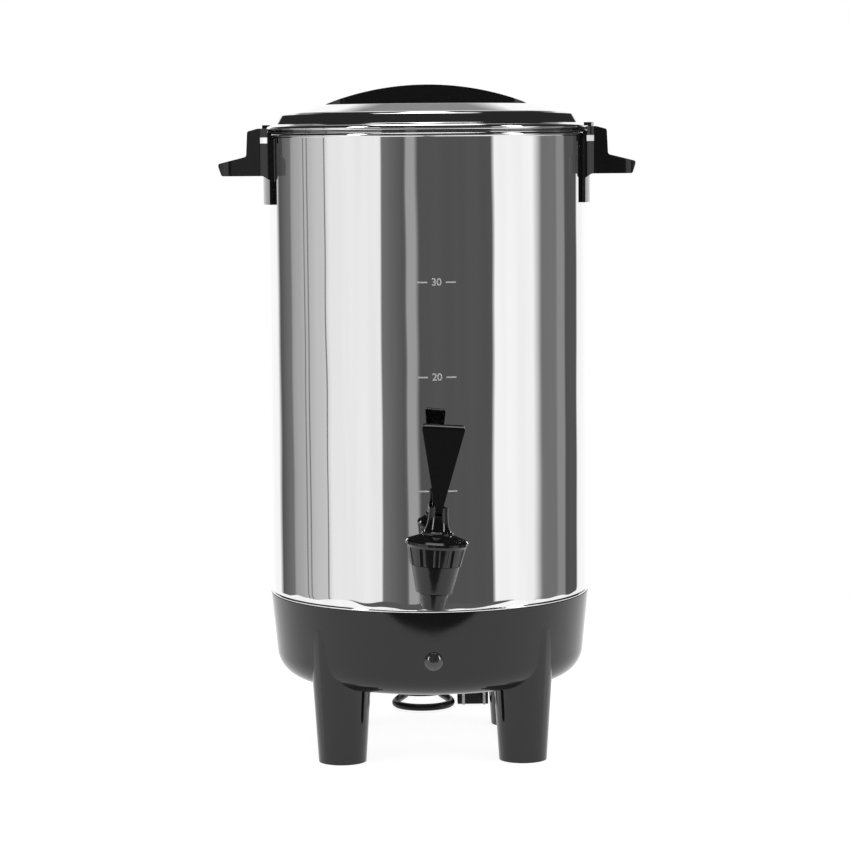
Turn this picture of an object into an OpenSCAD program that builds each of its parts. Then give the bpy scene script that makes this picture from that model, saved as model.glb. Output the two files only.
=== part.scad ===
// Percolator coffee urn for about thirty cups, in millimetres.
// The origin is on the drum's axis at floor height, +Z is up and the tap faces -Y.

/* [Drum] */
// Outside diameter of the drum
drum_d = 182; // [174:1:192]
// Height of the drum from the seam with the base to its rolled rim
drum_h = 262.4; // [240:0.1:320]
// Thickness of the sheet steel of the drum and the lid
sheet = 0.8; // [0.6:0.1:1]
// Height of the drum's floor above the seam
floor_rise = 9; // [8:0.5:12]
// Radius of the heating well in the drum's floor
well_r = 25; // [24:0.5:27]
// Depth of the heating well
well_depth = 7; // [6:0.5:8]
// Radius of the rolled edge at the top of the drum
rim_bead_r = 1.2; // [1:0.1:1.4]

/* [Base] */
// Height of the base from the floor to the seam
base_h = 90; // [86:1:100]
// Free height under the bowl of the base
bowl_clear = 41.5; // [38:0.5:44]
// Wall of the bowl and of its legs
bowl_wall = 2.6; // [2.2:0.1:3]
// Radius between the side and the bottom of the bowl
bowl_fillet = 16; // [12:1:20]
// How far the bowl's side leans in, in millimetres for each millimetre down
bowl_lean = 0.095; // [0.06:0.005:0.12]
// Radius of a leg at the floor
leg_foot_r = 13.5; // [12:0.5:15]
// How far a leg's radius grows for each millimetre up
leg_taper = 0.065; // [0.05:0.005:0.08]
// Distance from a leg's axis to the bowl's rim
leg_inset = 19.6; // [18.5:0.1:21]
// Radius of the round plate that closes the bowl
plate_r = 54; // [50:1:54]
// Thickness of the plate
plate_t = 1.2; // [1:0.1:1.5]
// Height of the ready lamp above the floor
lamp_z = 62.8; // [60:0.1:66]
// Diameter of the ready lamp's lens
lamp_d = 10.2; // [9:0.1:12]

/* [Lid] */
// Height of the lid's raised ring above the underside of its rolled edge
lid_rise = 14.9; // [13:0.1:17]
// Radius of the lid's rolled edge in section
lid_roll_r = 1.7; // [1.6:0.1:2]
// Outer radius of the raised ring
ring_out_r = 69; // [66:0.5:72]
// Inner radius of the raised ring, where the dish begins
ring_in_r = 62.5; // [60:0.5:64]
// Depth of the dish below the raised ring
dish_depth = 16.4; // [12:0.1:18]
// Height of the arched handle's crown above the raised ring
arch_rise = 11.4; // [9:0.1:14]
// Length of the arched handle
arch_l = 115; // [106:1:116]
// Width of the arched handle
arch_w = 24; // [20:1:28]
// Depth of the arched handle's straight underside below the raised ring
arch_drop = 1; // [0.5:0.1:2]
// How far the lid turns to lock
lock_turn = 14; // [12:1:15]

/* [Side handles] */
// How far a side handle stands out from the drum
grip_reach = 27.5; // [26:0.5:34]
// Width of a side handle along the drum
grip_w = 54; // [48:1:58]
// Height of the tail that follows the drum below the grip
tail_h = 16.1; // [12:0.1:20]
// Thickness of the tail
tail_t = 2.3; // [2:0.1:3]
// Diameter of the handle screws
handle_screw_d = 4; // [3:0.1:4.5]

/* [Percolator] */
// Outside diameter of the pump tube
pump_d = 9.6; // [8:0.1:11]
// Height of the pump tube above the drum's floor
pump_h = 242; // [220:1:244]
// Outer radius of the coffee basket
basket_r = 60; // [54:1:66]
// Height of the coffee basket
basket_h = 42; // [34:1:46]
// Distance from the pump tube's top down to the basket's floor
basket_drop = 55; // [50:1:60]

/* [Tap] */
// Height of the tap's shank above the drum's floor
tap_rise = 15; // [13:0.5:26]
// Distance from the drum's wall to the tap's upright axis
tap_reach = 40; // [36:0.5:48]
// Lean of the tap to the right, about its shank, in degrees
tap_lean = 3.5; // [0:0.5:6]
// Lean of the lever towards the user at rest, in degrees
lever_lean = 9; // [6:1:12]
// Length of the lever above its pin
lever_l = 51.3; // [44:0.1:60]
// Width of the lever's top
lever_w = 23.5; // [18:0.5:28]
// Diameter of the bonnet at its widest
bonnet_d = 33.5; // [32:0.5:36]
// Number of flutes round the bonnet
flutes = 12; // [10:1:24]
// Outside diameter of the threaded shank
shank_d = 14; // [13:0.5:15]
// Diameter of the outlet under the valve seat
outlet_d = 8.6; // [8:0.1:9.4]

/* [Mains lead] */
// Diameter of the mains lead
cord_d = 4.4; // [4:0.1:4.6]
// Length of the moulded plug body without its tapered neck
plug_l = 20; // [18:1:24]
// Width of the plug's face
plug_w = 19; // [17.5:0.5:20]
// Thickness of the plug
plug_t = 12; // [10:0.5:13]

/* [Hidden] */
$fn = 96;

steel = [0.78, 0.78, 0.79];
black = [0.06, 0.06, 0.06];
silicone = [0.85, 0.84, 0.8];
cut = 0.5;          // how far a cutting shape runs past the face it opens
fit_gap = 0.3;      // clearance between neighbouring pieces that don't grip
touch = 0.05;       // clearance between pieces that sit tightly

// Driving heights and radii
drum_r = drum_d / 2;
drum_in = drum_r - sheet;
seam_z = base_h;
rim_z = seam_z + drum_h;
floor_z = seam_z + floor_rise;
well_z = floor_z - well_depth;
under_well_z = well_z - sheet;
under_floor_z = floor_z - sheet;

// Sheet and round-corner helpers for outlines
function unit(v) = v / norm(v);
function left_of(v) = [-v[1], v[0]];
function corner(a, b, c, r, n = 8) =
    let (
        u = unit(a - b), v = unit(c - b), half = acos(u * v) / 2,
        middle = b + unit(u + v) * r / sin(half),
        first = b + u * r / tan(half) - middle, last = b + v * r / tan(half) - middle,
        from = atan2(first[1], first[0]), to = atan2(last[1], last[0]),
        turn = (to - from + 540) % 360 - 180
    )
    [for (i = [0:n]) middle + r * [cos(from + turn * i / n), sin(from + turn * i / n)]];
// An outline from points [x, y, corner radius]; a radius of 0 keeps the corner sharp.
function rounded(p) = [
    for (i = [0:len(p) - 1])
        let (
            a = p[(i + len(p) - 1) % len(p)], b = p[i], c = p[(i + 1) % len(p)]
        )
        each (b[2] > 0
            ? corner([a[0], a[1]], [b[0], b[1]], [c[0], c[1]], b[2])
            : [[b[0], b[1]]])
];
function miter(a, b, c, t) =
    let (n1 = left_of(unit(b - a)), n2 = left_of(unit(c - b)), m = unit(n1 + n2))
    b + m * t / (m * n1);
function beside(p, t) = [
    for (i = [0:len(p) - 1])
        i == 0 ? p[0] + left_of(unit(p[1] - p[0])) * t
        : i == len(p) - 1 ? p[i] + left_of(unit(p[i] - p[i - 1])) * t
        : miter(p[i - 1], p[i], p[i + 1], t)
];
function reversed(p) = [for (i = [len(p) - 1:-1:0]) p[i]];
// A wall of thickness t on the right of the line p.
module wall_outline(p, t) {
    polygon(concat(p, reversed(beside(p, -t))));
}
// A cylinder that lies along X or along Y.
module along_x(l, r, x = 0) {
    translate([x, 0, 0]) rotate([0, 90, 0]) cylinder(h = l, r = r);
}
module along_y(l, r, y = 0) {
    translate([0, y, 0]) rotate([-90, 0, 0]) cylinder(h = l, r = r);
}
module tube_z(z0, z1, r_out, r_in) {
    translate([0, 0, z0]) difference() {
        cylinder(h = z1 - z0, r = r_out);
        translate([0, 0, -cut]) cylinder(h = z1 - z0 + 2 * cut, r = r_in);
    }
}

// ---------------------------------------------------------------- drum
bead_x = drum_r + 0.65 - rim_bead_r;    // centre of the rolled rim in section
hem_r = 0.9;                            // rolled hem on the seam
hem_x = drum_r + 0.6 - hem_r;
well_flare = 1.5;                       // how far the well's side leans out
floor_line = rounded([
    [0, well_z, 0],
    [well_r, well_z, 2.5],
    [well_r + well_flare, floor_z, 2],
    [drum_in + sheet / 2, floor_z, 0]
]);

tap_z = floor_z + tap_rise;
tap_y = -(drum_r + tap_reach);
shank_r = shank_d / 2;

handle_screw_z = rim_z - 11.4;
handle_screw_turn = 8;      // angle of each handle screw to the handle's middle
handle_screw_r = handle_screw_d / 2;

module at_handle_screws(side) {
    for (turn = [-handle_screw_turn, handle_screw_turn])
        rotate([0, 0, side + turn]) translate([0, 0, handle_screw_z]) children();
}

module tank() {
    color(steel) difference() {
        union() {
            rotate_extrude() union() {
                translate([drum_in, seam_z + hem_r]) square([sheet, drum_h - hem_r - rim_bead_r]);
                translate([bead_x, rim_z - rim_bead_r]) circle(r = rim_bead_r);
                translate([hem_x, seam_z + hem_r]) circle(r = hem_r);
            }
            rotate_extrude() wall_outline(floor_line, sheet);
        }
        translate([0, 0, tap_z]) along_y(20, shank_r + fit_gap, -drum_r - 10);
        for (side = [0, 180]) at_handle_screws(side)
            along_x(20, handle_screw_r + fit_gap, drum_r - 10);
    }
}

// ---------------------------------------------------------------- side handles
handle_top = rim_z + 3.1;
handle_foot = handle_top - 26.6;        // underside of the grip
grip_r = drum_r + grip_reach;
channel_r = drum_r + 3.3;               // wall of the groove that the lid's lugs turn in
channel_z = rim_z + 0.5;
hook_turn = 14;                         // angle of the hook to the handle's middle
hook_half = 2.6;                        // half of the angle that the hook covers
hook_z = rim_z + 3.45;                  // underside of the hook's arm
hook_t = 1.9;
seat_r = drum_r + 0.15;                 // face that rests on the drum
window_z = rim_z - 5.2;                 // underside of the window through the handle
window_h = 3.3;
window_x = drum_r - 1.4;
window_w = 4.3;

grip_side = rounded([
    [drum_r - 8, handle_foot - 3.6, 0],
    [drum_r - 4.6, handle_foot - 3.6, 0],
    [drum_r + 1.6, handle_foot, 2],
    [grip_r - 2.5, handle_foot, 1.5],
    [grip_r, handle_foot + 6.8, 1.4],
    [drum_r + 10.9, handle_foot + 10.9, 1.6],
    [drum_r + 10.2, handle_top - 1.6, 1.4],
    [drum_r + 4.2, handle_top, 0.8],
    [drum_r - 8, handle_top, 0]
]);
grip_plan = rounded([
    [drum_r - 16, -grip_w / 2 - 1.6, 0],
    [drum_r - 1.2, -grip_w / 2 - 1.6, 2],
    [drum_r + 2.8, -grip_w / 2 + 1.2, 2],
    [grip_r, -grip_w / 2 + 3.5, 9],
    [grip_r, grip_w / 2 - 3.5, 9],
    [drum_r + 2.8, grip_w / 2 - 1.2, 2],
    [drum_r - 1.2, grip_w / 2 + 1.6, 2],
    [drum_r - 16, grip_w / 2 + 1.6, 0]
]);

module sector(r, from, to, z0, z1) {
    translate([0, 0, z0]) rotate([0, 0, from]) rotate_extrude(angle = to - from)
        square([r, z1 - z0]);
}

// The handle on the +X side; its hook is at the end towards the tap.
module side_handle() {
    tail_turn = asin((grip_w / 2 + 1.2) / drum_r);
    hook_from = -hook_turn - hook_half;
    hook_to = -hook_turn + hook_half;
    color(black) difference() {
        union() {
            intersection() {
                rotate([90, 0, 0]) linear_extrude(grip_w + 10, center = true) polygon(grip_side);
                translate([0, 0, handle_foot - 10]) linear_extrude(60) polygon(grip_plan);
            }
            sector(drum_r + tail_t, -tail_turn, tail_turn, handle_foot - tail_h, channel_z);
            sector(channel_r + 1.9, hook_from, hook_to, channel_z - 4, hook_z + hook_t);
        }
        translate([0, 0, handle_foot - tail_h - cut]) cylinder(h = 80, r = seat_r);
        difference() {
            translate([0, 0, channel_z]) cylinder(h = 20, r = channel_r);
            sector(channel_r + 1, hook_from, hook_to, hook_z, hook_z + hook_t);
        }
        translate([0, 0, rim_z - 2 * rim_bead_r - fit_gap])
            cylinder(h = 20, r = bead_x + rim_bead_r + fit_gap);
        translate([window_x, -grip_w, window_z]) cube([window_w, 2 * grip_w, window_h]);
        at_handle_screws(0) along_x(12, handle_screw_r + touch, drum_r - 1);
    }
}
module handle_right() { side_handle(); }
module handle_left() { rotate([0, 0, 180]) side_handle(); }

washer_t = 1.2;
module handle_screws() {
    color(steel) for (side = [0, 180]) at_handle_screws(side) {
        along_x(20, handle_screw_r, drum_in - washer_t - 10 + 0.4);
        difference() {
            along_x(2.4, handle_screw_r * 2, drum_in - washer_t - 3);
            translate([drum_in - washer_t - 3 - cut, -0.5, -3]) cube([1.2 + cut, 1, 6]);
            translate([drum_in - washer_t - 3 - cut, -3, -0.5]) cube([1.2 + cut, 6, 1]);
        }
    }
}
module handle_washers() {
    color(silicone) for (side = [0, 180]) at_handle_screws(side) intersection() {
        difference() {
            along_x(4, handle_screw_r * 2 + 1, drum_in - washer_t - 0.6);
            along_x(8, handle_screw_r + touch, drum_in - 6);
        }
        translate([0, 0, -10]) cylinder(h = 20, r = drum_in - touch, $fn = 360);
    }
}

// ---------------------------------------------------------------- lid
seal_t = 0.6;
seal_z = rim_z + fit_gap;
roll_z = seal_z + seal_t + 0.15;        // underside of the lid's rolled edge
lid_r = drum_r + 0.2;
ring_z = roll_z + lid_rise;             // top of the raised ring
dish_z = ring_z - dish_depth;
skirt_r = bead_x - rim_bead_r - 0.4 - sheet;    // skirt that centres the lid in the drum
skirt_h = 6.2;
lug_z = roll_z + 0.5;
lug_t = 1.6;
lug_r = drum_r + 2.6;
lug_half = 2.8;                         // half of the angle that a lug covers
vent_r = 1.5;

arch_crown = ring_z + arch_rise;
arch_foot_x = 47.5;                     // distance from the middle to each post
arch_half = arch_l / 2;
arch_sag = arch_crown - ring_z - 0.6;   // drop from the crown to the handle's tips
arch_big_r = (arch_half * arch_half + arch_sag * arch_sag) / (2 * arch_sag);
lid_screw_r = 1.9;

lid_line = rounded([
    [0, dish_z, 0],
    [ring_in_r - 6.5, dish_z, 4],
    [ring_in_r, ring_z, 3],
    [ring_out_r, ring_z, 2.5],
    [lid_r - 7.6, ring_z - 4.4, 3],
    [lid_r - 5.9, ring_z - 5.6, 1],
    [lid_r - 2.9, roll_z + 2 * lid_roll_r + 0.8, 0.5],
    [lid_r - lid_roll_r, roll_z + 2 * lid_roll_r, 0]
]);

module lid_seal() {
    color(black) tube_z(seal_z, seal_z + seal_t, drum_r, skirt_r + sheet + fit_gap);
}
module lid_shell() {
    color(steel) difference() {
        union() {
            rotate_extrude() union() {
                wall_outline(lid_line, sheet);
                translate([lid_r - lid_roll_r, roll_z + lid_roll_r]) circle(r = lid_roll_r);
                translate([skirt_r, roll_z - skirt_h])
                    square([sheet, skirt_h + 2 * lid_roll_r]);
            }
            for (side = [0, 180]) rotate([0, 0, side]) difference() {
                sector(lug_r, -lug_half, lug_half, lug_z, lug_z + lug_t);
                translate([0, 0, lug_z - cut]) cylinder(h = 4, r = lid_r - lid_roll_r);
            }
        }
        for (turn = [0, 120, 240]) rotate([0, 0, turn + 90])
            translate([24, 0, dish_z - 5]) cylinder(h = 10, r = vent_r);
        for (x = [-arch_foot_x, arch_foot_x])
            translate([x, 0, dish_z - 5]) cylinder(h = 10, r = lid_screw_r + fit_gap);
    }
}
module arch_plan() {
    end_x = arch_half - arch_w / 2;
    square([2 * end_x, arch_w], center = true);
    for (x = [-end_x, end_x]) translate([x, 0]) circle(d = arch_w);
}
module lid_handle() {
    under_z = ring_z - arch_drop;
    color(black) difference() {
        intersection() {
            translate([0, 0, arch_crown - arch_big_r]) rotate([90, 0, 0])
                cylinder(h = 60, r = arch_big_r, center = true, $fn = 360);
            translate([0, 0, dish_z]) linear_extrude(60) arch_plan();
            rotate([90, 0, 0]) linear_extrude(60, center = true) polygon(rounded([
                [-arch_l, under_z, 0], [-arch_foot_x - 8, under_z, 2], [-arch_foot_x - 4.8, dish_z, 0],
                [-arch_foot_x + 5.5, dish_z, 0], [-arch_foot_x + 7.5, under_z, 6],
                [arch_foot_x - 7.5, under_z, 6], [arch_foot_x - 5.5, dish_z, 0],
                [arch_foot_x + 4.8, dish_z, 0], [arch_foot_x + 8, under_z, 2], [arch_l, under_z, 0],
                [arch_l, under_z + 60, 0], [-arch_l, under_z + 60, 0]
            ]));
        }
        for (x = [-arch_foot_x, arch_foot_x])
            translate([x, 0, dish_z - cut]) cylinder(h = 12, r = lid_screw_r + touch);
    }
}
module lid_screws() {
    color(steel) for (x = [-arch_foot_x, arch_foot_x])
        translate([x, 0, dish_z - sheet]) {
            translate([0, 0, -0.6]) cylinder(h = 11, r = lid_screw_r);
            difference() {
                translate([0, 0, -2.2]) cylinder(h = 2.2, r = lid_screw_r * 2);
                translate([-2.6, -0.5, -2.2 - cut]) cube([5.2, 1, 1.1 + cut]);
            }
        }
}

// ---------------------------------------------------------------- percolator
pump_r = pump_d / 2;
pump_in = pump_r - sheet;
pump_top = floor_z + pump_h;
foot_r = well_r - 2;
foot_ring_z = floor_z + 2;              // top of the bell-shaped foot
foot_ring_r = 14;
basket_z = pump_top - basket_drop;      // underside of the basket's floor
sleeve_r = pump_r + 1.5;                // outer radius of the basket's middle tube
strip = 0.8;                            // sheet of the basket
washer_travel = 3;

foot_line = rounded([
    [foot_r, well_z + fit_gap, 0],
    [foot_r - 1.5, well_z + 4, 3],
    [foot_ring_r + 1, foot_ring_z, 2],
    [pump_r + touch, foot_ring_z, 0]
]);
module pump_foot() {
    color(steel) difference() {
        rotate_extrude() union() {
            wall_outline(foot_line, -strip);
            translate([pump_r + touch, foot_ring_z - 4]) square([1, 4]);
        }
        for (turn = [45:90:315]) rotate([0, 0, turn])
            translate([(foot_ring_r + pump_r) / 2 + 0.5, 0, foot_ring_z - 5]) cylinder(h = 10, r = 1.8);
    }
}
module pump_tube() {
    color(steel) difference() {
        union() {
            translate([0, 0, foot_ring_z - 3.6]) cylinder(h = pump_top - foot_ring_z + 3.6, r = pump_r);
            translate([0, 0, basket_z - 1.8]) cylinder(h = 1.8, r = pump_r + 2.6);
            translate([0, 0, foot_ring_z + washer_travel + 1.6]) cylinder(h = 1, r = pump_r + 1);
        }
        translate([0, 0, foot_ring_z - 5]) cylinder(h = pump_h + 10, r = pump_in);
    }
}
module pump_washer() {
    z = foot_ring_z + 0.1;
    color(steel) tube_z(z, z + 1, foot_ring_r, pump_r + 0.1);
}

module hole_rings(rings, step, r) {
    for (k = rings) for (i = [0:k - 1]) rotate([0, 0, i * 360 / k])
        translate([k * step, 0, -5]) cylinder(h = 10, r = r, $fn = 16);
}
module basket() {
    color(steel) difference() {
        rotate_extrude() {
            translate([pump_r + 0.4, basket_z]) square([basket_r - pump_r - 0.4, strip]);
            translate([basket_r - strip, basket_z]) square([strip, basket_h - 1]);
            translate([basket_r, basket_z + basket_h - 1]) circle(r = 1);
            translate([pump_r + 0.4, basket_z]) square([sleeve_r - pump_r - 0.4, basket_h - 2]);
        }
        translate([0, 0, basket_z]) hole_rings([12, 18, 24, 30], 1.72, 1.2);
    }
}
cover_z = basket_z + basket_h + 0.1;
module basket_cover() {
    color(steel) difference() {
        rotate_extrude() {
            translate([pump_r + 0.5, cover_z]) square([basket_r + 0.6 - pump_r - 0.5, strip]);
            translate([pump_r + 0.5, cover_z]) square([strip, 3]);
            translate([basket_r - 5, cover_z]) square([strip, 2.4]);
        }
        translate([0, 0, cover_z]) hole_rings([12, 18, 24], 1.9, 1.1);
    }
}

// ---------------------------------------------------------------- tap
// The tap's own frame: origin on the shank's axis, z up the leaning tap.
module tap_frame() {
    translate([0, tap_y, tap_z]) rotate([0, tap_lean, 0]) children();
}
nozzle_z = -15;             // heights in the tap's frame
body_foot_z = -6;
seat_z = -5;
body_top_z = 17.5;
bonnet_foot_z = 9;
skirt_rise = 9.6;           // height of the bonnet's fluted skirt
diaphragm_z = 17.8;
neck_z = 26.6;
neck_top_z = 39.7;
pin_z = 34;
valve_r = 8.2;
thread_r = 11.2;
outlet_r = outlet_d / 2;
bonnet_r = bonnet_d / 2;
stem_r = 2.2;
neck_bore = 3.8;
slot_w = 4;
pin_r = 1;
collar_t = 3;
gasket_t = 2.6;
collar_y = tap_reach - gasket_t - collar_t;     // near face of the collar, from the tap's axis
shank_end = tap_reach + 14;
shank_bore = 4.8;

module tap_body() {
    color(black) tap_frame() difference() {
        union() {
            rotate_extrude() polygon([
                [0, nozzle_z], [6.15, nozzle_z], [7.8, body_foot_z - 0.8], [7.8, body_foot_z],
                [9.7, body_foot_z], [9.9, body_foot_z + 0.8], [13.1, bonnet_foot_z - fit_gap],
                [thread_r, bonnet_foot_z - fit_gap], [thread_r, body_top_z], [0, body_top_z]
            ]);
            along_y(shank_end, shank_r);
            along_y(collar_t, shank_r + 4, collar_y);
        }
        translate([0, 0, nozzle_z - cut]) cylinder(h = seat_z - nozzle_z + 2 * cut, r = outlet_r);
        translate([0, 0, seat_z]) cylinder(h = 30, r = valve_r);
        along_y(shank_end + cut, shank_bore);
    }
}
module tap_gasket() {
    color(silicone) difference() {
        tap_frame() along_y(gasket_t + 3, shank_r + 4, collar_y + collar_t);
        tap_frame() along_y(40, shank_r + touch, collar_y);
        translate([0, 0, tap_z - 30]) cylinder(h = 60, r = drum_r + touch, $fn = 360);
    }
}
inner_gasket_y = drum_in - 3;       // distance from the drum's axis to the nut's seat
nut_t = 6;
module tap_inner_gasket() {
    color(silicone) intersection() {
        translate([0, 0, tap_z]) difference() {
            along_y(8, shank_r + 4, -inner_gasket_y - 8);
            along_y(20, shank_r + touch, -inner_gasket_y - 10);
        }
        translate([0, 0, tap_z - 30]) cylinder(h = 60, r = drum_in - touch, $fn = 360);
    }
}
module tap_nut() {
    color(steel) translate([0, -inner_gasket_y, tap_z]) rotate([-90, 0, 0]) difference() {
        cylinder(h = nut_t, d = (shank_d + 8) / cos(30), $fn = 6);
        translate([0, 0, -cut]) cylinder(h = nut_t + 2 * cut, r = shank_r + touch);
    }
}
neck_curve = [
    for (i = [0:12])
        let (a = 90 * i / 12)
        [5.1 + 2.9 * (1 - sin(a)), neck_top_z - (neck_top_z - neck_z) * cos(a)]
];
bonnet_line = concat(
    [
        [13.7, bonnet_foot_z], [bonnet_r - 0.9, bonnet_foot_z + skirt_rise],
        [bonnet_r, bonnet_foot_z + skirt_rise + 1.4], [bonnet_r, bonnet_foot_z + skirt_rise + 2.8],
        [bonnet_r - 0.9, bonnet_foot_z + skirt_rise + 3.8], [9.2, neck_z - 1.7],
        [8.6, neck_z - 1.4], [8.6, neck_z - 0.3], [8.3, neck_z]
    ],
    neck_curve
);
flute_lean = atan((bonnet_r - 0.9 - 13.7) / skirt_rise);
flute_r = 31 / flutes;      // radius of a flute in section
flute_depth = 0.8;
module tap_bonnet() {
    color(black) tap_frame() difference() {
        rotate_extrude() polygon(concat(
            bonnet_line,
            [
                [neck_bore, neck_top_z], [neck_bore, diaphragm_z + 3.2], [stem_r + 0.1, diaphragm_z + 3.2],
                [stem_r + 0.1, diaphragm_z], [thread_r + fit_gap, diaphragm_z],
                [thread_r + fit_gap, bonnet_foot_z]
            ]
        ));
        for (i = [0:flutes - 1]) rotate([0, 0, i * 360 / flutes])
            translate([13.7 + flute_r - flute_depth, 0, bonnet_foot_z]) rotate([0, flute_lean, 0])
                translate([0, 0, -4]) cylinder(h = 4 + skirt_rise - 0.4, r = flute_r, $fn = 24);
        translate([-slot_w / 2, -12, pin_z + 1.5]) cube([slot_w, 24, 12]);
    }
}

module lever_frame() {
    tap_frame() translate([0, 0, pin_z]) rotate([lever_lean, 0, 0]) children();
}
shank_w = 3.5;              // the lever's narrow lower end, across
shoulder_z = 6.6;           // underside of the lever's wedge above the pin
module tap_lever() {
    color(black) lever_frame() difference() {
        union() {
            intersection() {
                rotate([90, 0, 0]) linear_extrude(20, center = true) polygon(rounded([
                    [-2.3, shoulder_z, 0], [2.3, shoulder_z, 0],
                    [lever_w / 2, lever_l, 2], [-lever_w / 2, lever_l, 2]
                ]));
                rotate([90, 0, 90]) linear_extrude(40, center = true) polygon(rounded([
                    [-2.8, shoulder_z, 0], [2.8, shoulder_z, 0],
                    [2, lever_l, 1.6], [-3.2, lever_l, 2.2]
                ]));
            }
            translate([-shank_w / 2, -2.4, 0]) cube([shank_w, 4.8, shoulder_z + 1]);
            along_x(shank_w, 3, -shank_w / 2);
        }
        along_x(20, pin_r + 0.06, -10);
    }
}
module tap_pin() {
    color(steel) tap_frame() translate([0, 0, pin_z]) along_x(6.8, pin_r, -3.4);
}
cup_top = seat_z + 9;
module tap_stem() {
    color(steel) tap_frame() difference() {
        union() {
            translate([0, 0, seat_z + 2]) cylinder(h = pin_z - seat_z - 6, r = stem_r);
            translate([0, 0, seat_z + 2]) cylinder(h = 1.6, r = 3);
            translate([0, 0, pin_z - 6.4]) cylinder(h = 9.2, r = 3.5);
        }
        translate([-1.95, -5, pin_z - 3.4]) cube([3.9, 10, 10]);
        translate([0, 0, pin_z]) along_x(20, pin_r + 0.02, -10);
    }
}
module tap_seat_cup() {
    color(silicone) tap_frame() rotate_extrude() difference() {
        polygon([
            [0, seat_z + touch], [5.6, seat_z + touch], [6.4, seat_z + 2], [6.4, cup_top - 3],
            [5.6, cup_top], [0, cup_top]
        ]);
        translate([0, seat_z + 1.95]) square([3 + touch, 1.7]);
        translate([0, seat_z + 1.95]) square([stem_r + touch, 20]);
    }
}
spring_r = 4.6;
wire_r = 0.45;
spring_foot = cup_top + 0.5;
spring_h = diaphragm_z - spring_foot - 0.5;
spring_turns = 6;
spring_path = [
    for (i = [0:8 * spring_turns])
        let (a = i * 45)
        [spring_r * cos(a), spring_r * sin(a), spring_foot + spring_h * i / (8 * spring_turns)]
];
module tap_spring() {
    color(steel) tap_frame() swept_tube(spring_path, wire_r, 6);
}

// A closed tube along a list of points, one ring of flat sides at each point.
function flat_side(t) = norm(cross(t, [0, 0, 1])) > 0.01 ? unit(cross(t, [0, 0, 1])) : [1, 0, 0];
module swept_tube(path, r, sides) {
    last = len(path) - 1;
    tangent = [
        for (i = [0:last]) unit(path[min(i + 1, last)] - path[max(i - 1, 0)])
    ];
    side = [
        for (i = 0, v = flat_side(tangent[0]); i <= last; i = i + 1,
            v = i > last ? v : unit(v - (v * tangent[i]) * tangent[i])) v
    ];
    points = [
        for (i = [0:last]) for (k = [0:sides - 1])
            path[i] + r * (cos(360 * k / sides) * side[i] + sin(360 * k / sides) * cross(side[i], tangent[i]))
    ];
    walls = [
        for (i = [0:last - 1]) for (k = [0:sides - 1])
            let (a = i * sides + k, b = i * sides + (k + 1) % sides)
            each [[a, b, b + sides], [a, b + sides, a + sides]]
    ];
    caps = [
        for (k = [1:sides - 2])
            each [[0, k + 1, k], [last * sides, last * sides + k, last * sides + k + 1]]
    ];
    polyhedron(points = points, faces = [for (f = concat(walls, caps)) reversed(f)], convexity = 10);
}

// ---------------------------------------------------------------- base
bowl_top_r = drum_r + 0.6;
bowl_lean_angle = atan(bowl_lean);
arc_z = bowl_clear + bowl_fillet;
arc_x = bowl_top_r - bowl_lean * (seam_z - arc_z + bowl_fillet * sin(bowl_lean_angle))
    - bowl_fillet * cos(bowl_lean_angle);
function bowl_arc(r) = [
    for (i = [0:16])
        let (a = -90 + (90 - bowl_lean_angle) * i / 16)
        [arc_x + r * cos(a), arc_z + r * sin(a)]
];
leg_r = drum_r + 0.6 - leg_inset;
leg_h = seam_z - 14;
bowl_in_r = bowl_fillet - bowl_wall;
lip_h = 5;                              // rim that centres the drum
lip_r = hem_x - hem_r - fit_gap;
lip_in = bowl_top_r - bowl_wall / cos(bowl_lean_angle);

opening_r = plate_r - 5;
screw_ring = plate_r - 2.4;
plate_seat_z = bowl_clear + plate_t + 0.1;
boss_r = 3.6;
base_screw_r = 1.5;
cord_exit = [-40, 110, 60];
cord_turn = atan2(cord_exit[1], cord_exit[0]);
relief_hole = 4.5;

function bowl_r(z) = bowl_top_r - bowl_lean * (seam_z - z);

module at_legs() {
    for (turn = [45:90:315]) rotate([0, 0, turn]) translate([leg_r, 0, 0]) children();
}
module base_shell() {
    color(black) difference() {
        union() {
            rotate_extrude() polygon(concat(
                [[0, bowl_clear]], bowl_arc(bowl_fillet),
                [[bowl_top_r, seam_z], [lip_r, seam_z], [lip_r, seam_z + lip_h], [0, seam_z + lip_h]]
            ));
            at_legs() cylinder(h = leg_h, r1 = leg_foot_r, r2 = leg_foot_r + leg_taper * leg_h);
        }
        difference() {
            union() {
                rotate_extrude() polygon(concat(
                    [[0, bowl_clear + bowl_wall]], bowl_arc(bowl_in_r),
                    [[lip_in, seam_z - 3], [lip_r - 2, seam_z + 0.5], [lip_r - 2, seam_z + lip_h + cut],
                     [0, seam_z + lip_h + cut]]
                ));
                at_legs() translate([0, 0, 3])
                    cylinder(
                        h = leg_h - 3, r1 = leg_foot_r - bowl_wall + 3 * leg_taper,
                        r2 = leg_foot_r - bowl_wall + leg_taper * leg_h
                    );
            }
            for (turn = [0:90:270]) rotate([0, 0, turn])
                translate([screw_ring, 0, 0]) cylinder(h = plate_seat_z + 8, r = boss_r);
        }
        translate([0, 0, bowl_clear - cut]) cylinder(h = 10, r = opening_r);
        translate([0, 0, bowl_clear - cut]) cylinder(h = plate_t + 0.1 + cut, r = plate_r + fit_gap);
        for (turn = [0:90:270]) rotate([0, 0, turn])
            translate([screw_ring, 0, bowl_clear]) cylinder(h = plate_t + 7, r = base_screw_r + touch);
        at_lamp() along_y(20, lamp_d / 2 - 1, -10);
        rotate([0, 0, cord_turn]) translate([0, 0, cord_exit[2]]) along_x(20, relief_hole, drum_r - 15);
    }
}
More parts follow.
